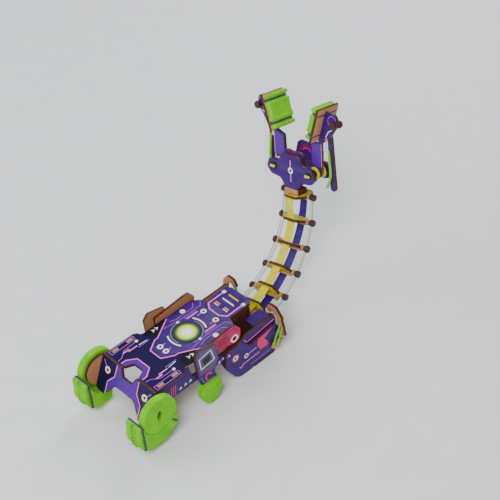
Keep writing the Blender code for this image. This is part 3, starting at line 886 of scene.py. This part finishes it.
def print_lobe(side_name, side):
    face = side_frame(side, OUTER_FACE)
    claw = [(53.2, -24.9), (61.0, -24.4), (71.0, -22.9), (66.5, -26.6), (60.3, -29.4),
            (64.4, -36.8), (65.0, -40.6), (54.4, -39.9), (51.0, -32.0)]
    hub, stud = (23.8, -28.2), (36.8, -34.6)
    star = [(hub[0] + r * math.cos(a), hub[1] + r * math.sin(a))
            for a, r in ((math.pi * i / 8, 4.9 if i % 2 else 3.7) for i in range(16))]
    printed("lobe_glow_" + side_name, face, "base", 0, hot=[fill(claw), fill(star)])
    hook = [(27.4, -42.6), (28.2, -44.6), (30.4, -44.2), (31.8, -42.0), (53.0, -41.6)]
    printed("lobe_lines_" + side_name, face, "base", 1, white=[triangle(16.6, -19.2, 1.7)],
            cream=[ring(*hub, 2.2, 1.7), ring(*stud, 2.1, 1.3)],
            pink=[line([(38.9, -34.3), (50.0, -33.4)], 1.1), line(hook, 1.1)],
            lilac=[line([(40.5, -49.0), (66.0, -48.6), (74.5, -41.0)], 0.7)],
            dark=[dot(*hub, 1.3), dot(*stud, 1.3)])


def print_sides():
    for side_name, side in SIDES:
        print_side_plate(side_name, side)
        print_lobe(side_name, side)


def print_triggers():
    for side_name, side in SIDES:
        body = "trigger_" + side_name
        face = side_frame(side, OUTER_FACE)
        panel = [(-20.6, 6.2), (-16.0, 11.8), (1.8, 7.2), (3.6, -11.4), (-2.4, -20.5),
                 (-18.6, -17.6), (-19.8, -8.0)]
        window = [(-17.6, 2.2), (-3.2, 4.6), (-0.4, -9.0), (-16.6, -11.2)]
        printed("trigger_panel_" + side_name, face, body, 0, mauve=[fill(panel)])
        centre = [(-14.0, -1.4), (-5.4, 0.6), (-4.2, -6.4), (-12.8, -8.4)]
        printed("trigger_window_" + side_name, face, body, 1, white=[line(window, 1.0, True)],
                black=[fill(centre)], hot=[curve_line(-9.6, -24.8, 3.4, 10, 250, 1.9)],
                lilac=[line([(-18.2, -20.5), (-15.4, -29.4), (-3.4, -29.4)], 0.7)])
        face = side_frame(side, SIDE_FACE)
        printed("lever_lines_" + side_name, face, body, 0, red=[
            line([(7.0, 4.2), (22.0, 5.4), (29.4, 4.8), (33.4, -1.5)], 0.9),
            line([(6.5, -6.6), (16.0, -6.8), (22.0, -3.4)], 0.9),
            fill([(8.0, 2.6), (19.0, 3.6), (22.0, -0.8), (16.0, -4.6), (8.0, -4.8)])])
        printed("lever_ring_" + side_name, face, body, 1, white=[ring(28.0, -7.0, 3.6, 1.9)])


# -------------------------------------------- nose bands and hooks
def nose_bands():
    """Hooks under the ears, the lime band on the right and the teal cords on the left."""
    hook = [fill([(67.5, -47.5), (69.0, -43.4), (80.0, -41.6), (81.6, -44.4), (72.0, -47.0)])]
    for side_name, side in SIDES:
        solid("band_hook_" + side_name, side_frame(side, OUTER_FACE), "base", hook, 0.15, 3.0,
              TAN_WOOD, 0.3)
    band = [(37.4, 84.2, -17.2), (38.6, 77.0, -29.0), (38.4, 69.6, -43.4), (40.2, 71.5, -45.8),
            (40.6, 78.5, -31.0), (38.6, 84.4, -17.0)]
    lime = tubes("nose_lime_band", [bent_path(BODY, band)], 0.9, LIME_BAND)
    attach(lime, "base")
    teal_paths = []
    for gap in (0.0, 1.8):
        cord = [(-34.0 - gap, 84.0, -9.5 - gap), (-33.0 - gap, 86.0 + gap, -20.0),
                (-27.0, 84.5 + gap, -32.0), (-24.0, 82.0, -40.0)]
        teal_paths.append(bent_path(BODY, cord))
    teal = tubes("teal_cords", teal_paths, 0.7, TEAL)
    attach(teal, "base")


def strip_between(name, number, height, material, bow, lean):
    """Flat strip from the middle of one neck board to the next, curved along the bend between them as
    they stand.

    It arches by `bow` and ends `lean` to the left, both in millimetres.
    """
    first, second = STATIONS[number - 1], STATIONS[number]
    start = first @ Vector((0, 0, height * MM))
    end = second @ (Vector((-lean, 0, height)) * MM)
    reach = (end - start).length
    leave, arrive = direction(first, 1) * reach, direction(second, 1) * reach
    pieces, corner = 24, 0.3
    x, y = STRIP_WIDTH / 2, STRIP_THICKNESS / 2
    section = box_outline(-x, -y, x, y, corner)
    rings = []
    for i in range(pieces + 1):
        t = i / pieces
        point = ((2 * t ** 3 - 3 * t * t + 1) * start + (t ** 3 - 2 * t * t + t) * leave
                 + (3 * t * t - 2 * t ** 3) * end + (t ** 3 - t * t) * arrive)
        way = ((6 * t * t - 6 * t) * start + (3 * t * t - 4 * t + 1) * leave
               + (6 * t - 6 * t * t) * end + (3 * t * t - 2 * t) * arrive).normalized()
        across = (direction(first, 0) * (1 - t) + direction(second, 0) * t).normalized()
        up = across.cross(way).normalized()
        point += up * bow * math.sin(math.pi * t) ** 2 * MM
        rings.append([point + (across * p.x + up * p.y) * MM for p in section])
    strip = add_mesh(name, *skin(rings), material)
    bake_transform(strip)
    return strip


def neck_strips():
    """The two flexible strips, a stretch for each joint, with their short ends."""
    x, y = STRIP_WIDTH / 2, STRIP_THICKNESS / 2
    root = [fill(box_outline(-x, -18.0, x, 0.2, 0.6))]
    tip = [fill(box_outline(-x, -0.2, x, 1.8, 0.6))]
    for colour, height, material in (("yellow", STRIP_RISE, YELLOW_STRIP),
                                     ("purple", -STRIP_RISE, PURPLE_STRIP)):
        for number in range(1, NECK_JOINTS + 1):
            slack = number == NECK_JOINTS and colour == "yellow"
            bow, lean = (3.4, 2.0) if slack else (0.0, 0.0)
            strip = strip_between(f"{colour}_strip_run_{number}", number, height, material, bow,
                                  lean)
            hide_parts(f"{colour}_strip_{number}")
        low_end = STATIONS[0] @ shift(0, 0, height)
        solid(f"{colour}_strip_root", low_end, "neck_1", root, -y, y, material, 0.2)
    high_end = HEAD @ shift(0, 0, -STRIP_RISE)
    solid("purple_strip_tip", high_end, "head", tip, -y, y, PURPLE_STRIP, 0.2)


def twisted(start, end, across):
    """Strands that wind round the line between two points, as paths."""
    strands, pieces, turns, lay = 3, 40, 4.5, 0.66
    up = across.cross((end - start).normalized()).normalized()
    paths = []
    for strand in range(strands):
        path = []
        for i in range(pieces + 1):
            t = i / pieces
            angle = 2 * math.pi * (strand / strands + t * turns)
            path.append(start.lerp(end, t)
                        + (across * math.cos(angle) + up * math.sin(angle)) * lay * MM)
        paths.append(path)
    return paths


def neck_cords():
    """White cord and thin thread from knob to knob on both sides of the neck."""
    cord_x, thread_gap = 16.7, 2.7
    for side_name, side in SIDES:
        knot = Vector((side * cord_x, 0, KNOB_Z)) * MM
        for number in range(1, NECK_JOINTS + 1):
            start, end = STATIONS[number - 1] @ knot, STATIONS[number] @ knot
            across = direction(STATIONS[number - 1], 0)
            aside = across * side * thread_gap * MM
            straight = [(start + aside).lerp(end + aside, i / 8) for i in range(9)]
            rope = tubes(f"neck_cord_{side_name}_{number}", twisted(start, end, across), 0.82, CORD)
            thread = tubes(f"neck_thread_{side_name}_{number}", [straight], 0.35, THREAD, 6)
            for piece in (rope, thread):
                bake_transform(piece)


# -------------------------------------------- head and claws
def head_details():
    face = HEAD @ shift(0, 0, FRONT_FACE)
    pin_x, pin_y = CLAW_PIN
    printed("head_lines", face, "head", 0,
            pink=[line([(0, 14.5), (0, 22.8)], 1.3), line([(0, 29.2), (0, 36.5)], 1.3)],
            cream=[ring(0, pin_y, 2.3, 1.9)], black=[dot(0, pin_y, 1.3)])
    for name, height, y in (("middle", MIDDLE_FACE, 34.0), ("back", BACK_FACE, 36.5)):
        printed(f"head_{name}_lines", HEAD @ shift(0, 0, height), "head", 0,
                red=[curve_line(0, y, 8.6, 20, 160, 1.6)],
                hot=[curve_line(0, y, 5.8, 30, 150, 1.1)])
    for side_name, side in SIDES:
        x = side * pin_x
        oval = [(x + 4.3 * p.x, pin_y + 3.3 * p.y) for p in circle(0, 0, 1, 28)]
        printed("claw_slot_" + side_name, face, "head", 0, black=[fill(oval)])
        tab = [fill(box_outline(x - 3.2, pin_y - 1.3, x + 3.2, pin_y + 1.3, 1.1))]
        solid("claw_tab_" + side_name, HEAD, "head", tab, FRONT_FACE + 0.15, FRONT_FACE + 2.0,
              YELLOW_STRIP, 0.35)
        spacer = [ring(x, pin_y, 4.9, 3.2)]
        for number, low in enumerate((4.8, -0.9, -9.6), start=1):
            solid(f"claw_spacer_{side_name}_{number}", HEAD, "head", spacer, low, low + 1.0,
                  YELLOW_STRIP, 0.2)


def claw_prints(side_name, side, body):
    face = HEAD @ shift(0, 0, ARM_FACE)
    panel = [(side * x, y) for x, y in ((18.3, 33.0), (29.4, 33.0), (30.2, 57.0), (18.8, 54.6))]
    bent = [(side * x, y) for x, y in ((37.5, 65.5), (41.0, 71.5), (46.5, 74.8))]
    printed("arm_panel_" + side_name, face, body, 0, violet=[fill(panel)])
    printed("arm_lines_" + side_name, face, body, 1,
            pink=[line([(side * 30.9, 34.0), (side * 31.2, 57.0)], 0.8)],
            white=[line(bent, 0.9)], lilac=[curve_line(side * 46.0, 82.5, 5.2, 20, 340, 0.7)])


def claw_link(side_name, side, body):
    """Outer link of a claw, and the white rod beside it."""
    route = [(side * 33.9, 51.0, -4.0), (side * 34.2, 57.0, -4.0), (side * 34.5, 63.0, -4.0)]
    rod = tubes("claw_rod_" + side_name, [bent_path(HEAD, route)], 1.5, WHITE_ROD, 14)
    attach(rod, body)
    outline = arc(41.5, 14.0, 3.4, 180, 360, 10) + arc(*LINK_PIN, 2.6, 0, 180, 10)
    link_board = board("link_print_" + side_name, direction(HEAD, 2), LINK_BLUE)
    solid("claw_link_" + side_name, HEAD, body, [fill([(side * p.x, p.y) for p in outline])],
          -8.6, -5.6, link_board, 0.2)


def claw_lime_bands(side_name, side, body):
    """Two bands over the outside of a claw's link, a thick one above a thin one."""
    route = ((38.4, 52.0), (39.4, 40.0), (40.4, 29.0), (38.6, 20.5), (35.4, 14.0))
    for number, (z, radius) in enumerate(((-4.1, 1.35), (-9.1, 1.0)), start=1):
        path = bent_path(HEAD, [(side * x, y, z) for x, y in route])
        lime = tubes(f"claw_lime_band_{side_name}_{number}", [path], radius, LIME_BAND)
        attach(lime, body)


def claw_knobs(side_name, side, body):
    knob = [fill(circle(side * 49.6, 79.5, 4.0, 6))]
    for number, (low, high) in enumerate(((-1.9, 2.6), (-9.4, -5.2)), start=1):
        solid(f"claw_knob_{side_name}_{number}", HEAD, body, knob, low, high, DARK_WOOD, 0.8)
    x, y = LINK_PIN
    pin = [fill(circle(side * x, y, 1.7, 16))]
    solid("claw_link_pin_" + side_name, HEAD, body, pin, -9.6, -0.9, TAN_WOOD, 0.3)


def claw_pad(side_name, side, body):
    """Foam pad strapped to its board by two rubber bands near its ends."""
    pad_x, pad_y = 24.0, 79.5
    width, thickness = 1.6, 0.7
    out, along = pad_axes(side)
    matrix = axes(out, direction(HEAD, 2), along)
    matrix.translation = HEAD @ (Vector((side * pad_x, pad_y, 0)) * MM)
    outline = [(9.5, -19.9), (5.6, -19.9), (1.3, -17.9), (1.3, 5.9), (5.6, 7.9), (9.5, 7.9)]
    grooves = []
    for number, reach in enumerate((-11.2, 11.2), start=1):
        name = f"claw_band_{side_name}_{number}"
        band_round(name, matrix, body, outline, width, thickness, reach)
        grooves.append((matrix.translation + along * reach * MM, along, 2.4, 1.5, None))
    foam("claw_pad_" + side_name, body, grooves)


def claws():
    for side_name, side in SIDES:
        body = "claw_" + side_name
        for make in (claw_prints, claw_link, claw_lime_bands, claw_knobs, claw_pad):
            make(side_name, side, body)


# -------------------------------------------- the whole
add_camera()
add_studio()
finish_boards()
top_panels()
top_lines()
top_borders()
top_dots()
top_emblem()
deck_tabs()
nose_inserts()
nose_inside()
print_rear()
print_sides()
print_triggers()
nose_bands()
neck_strips()
neck_cords()
head_details()
claws()
grips()
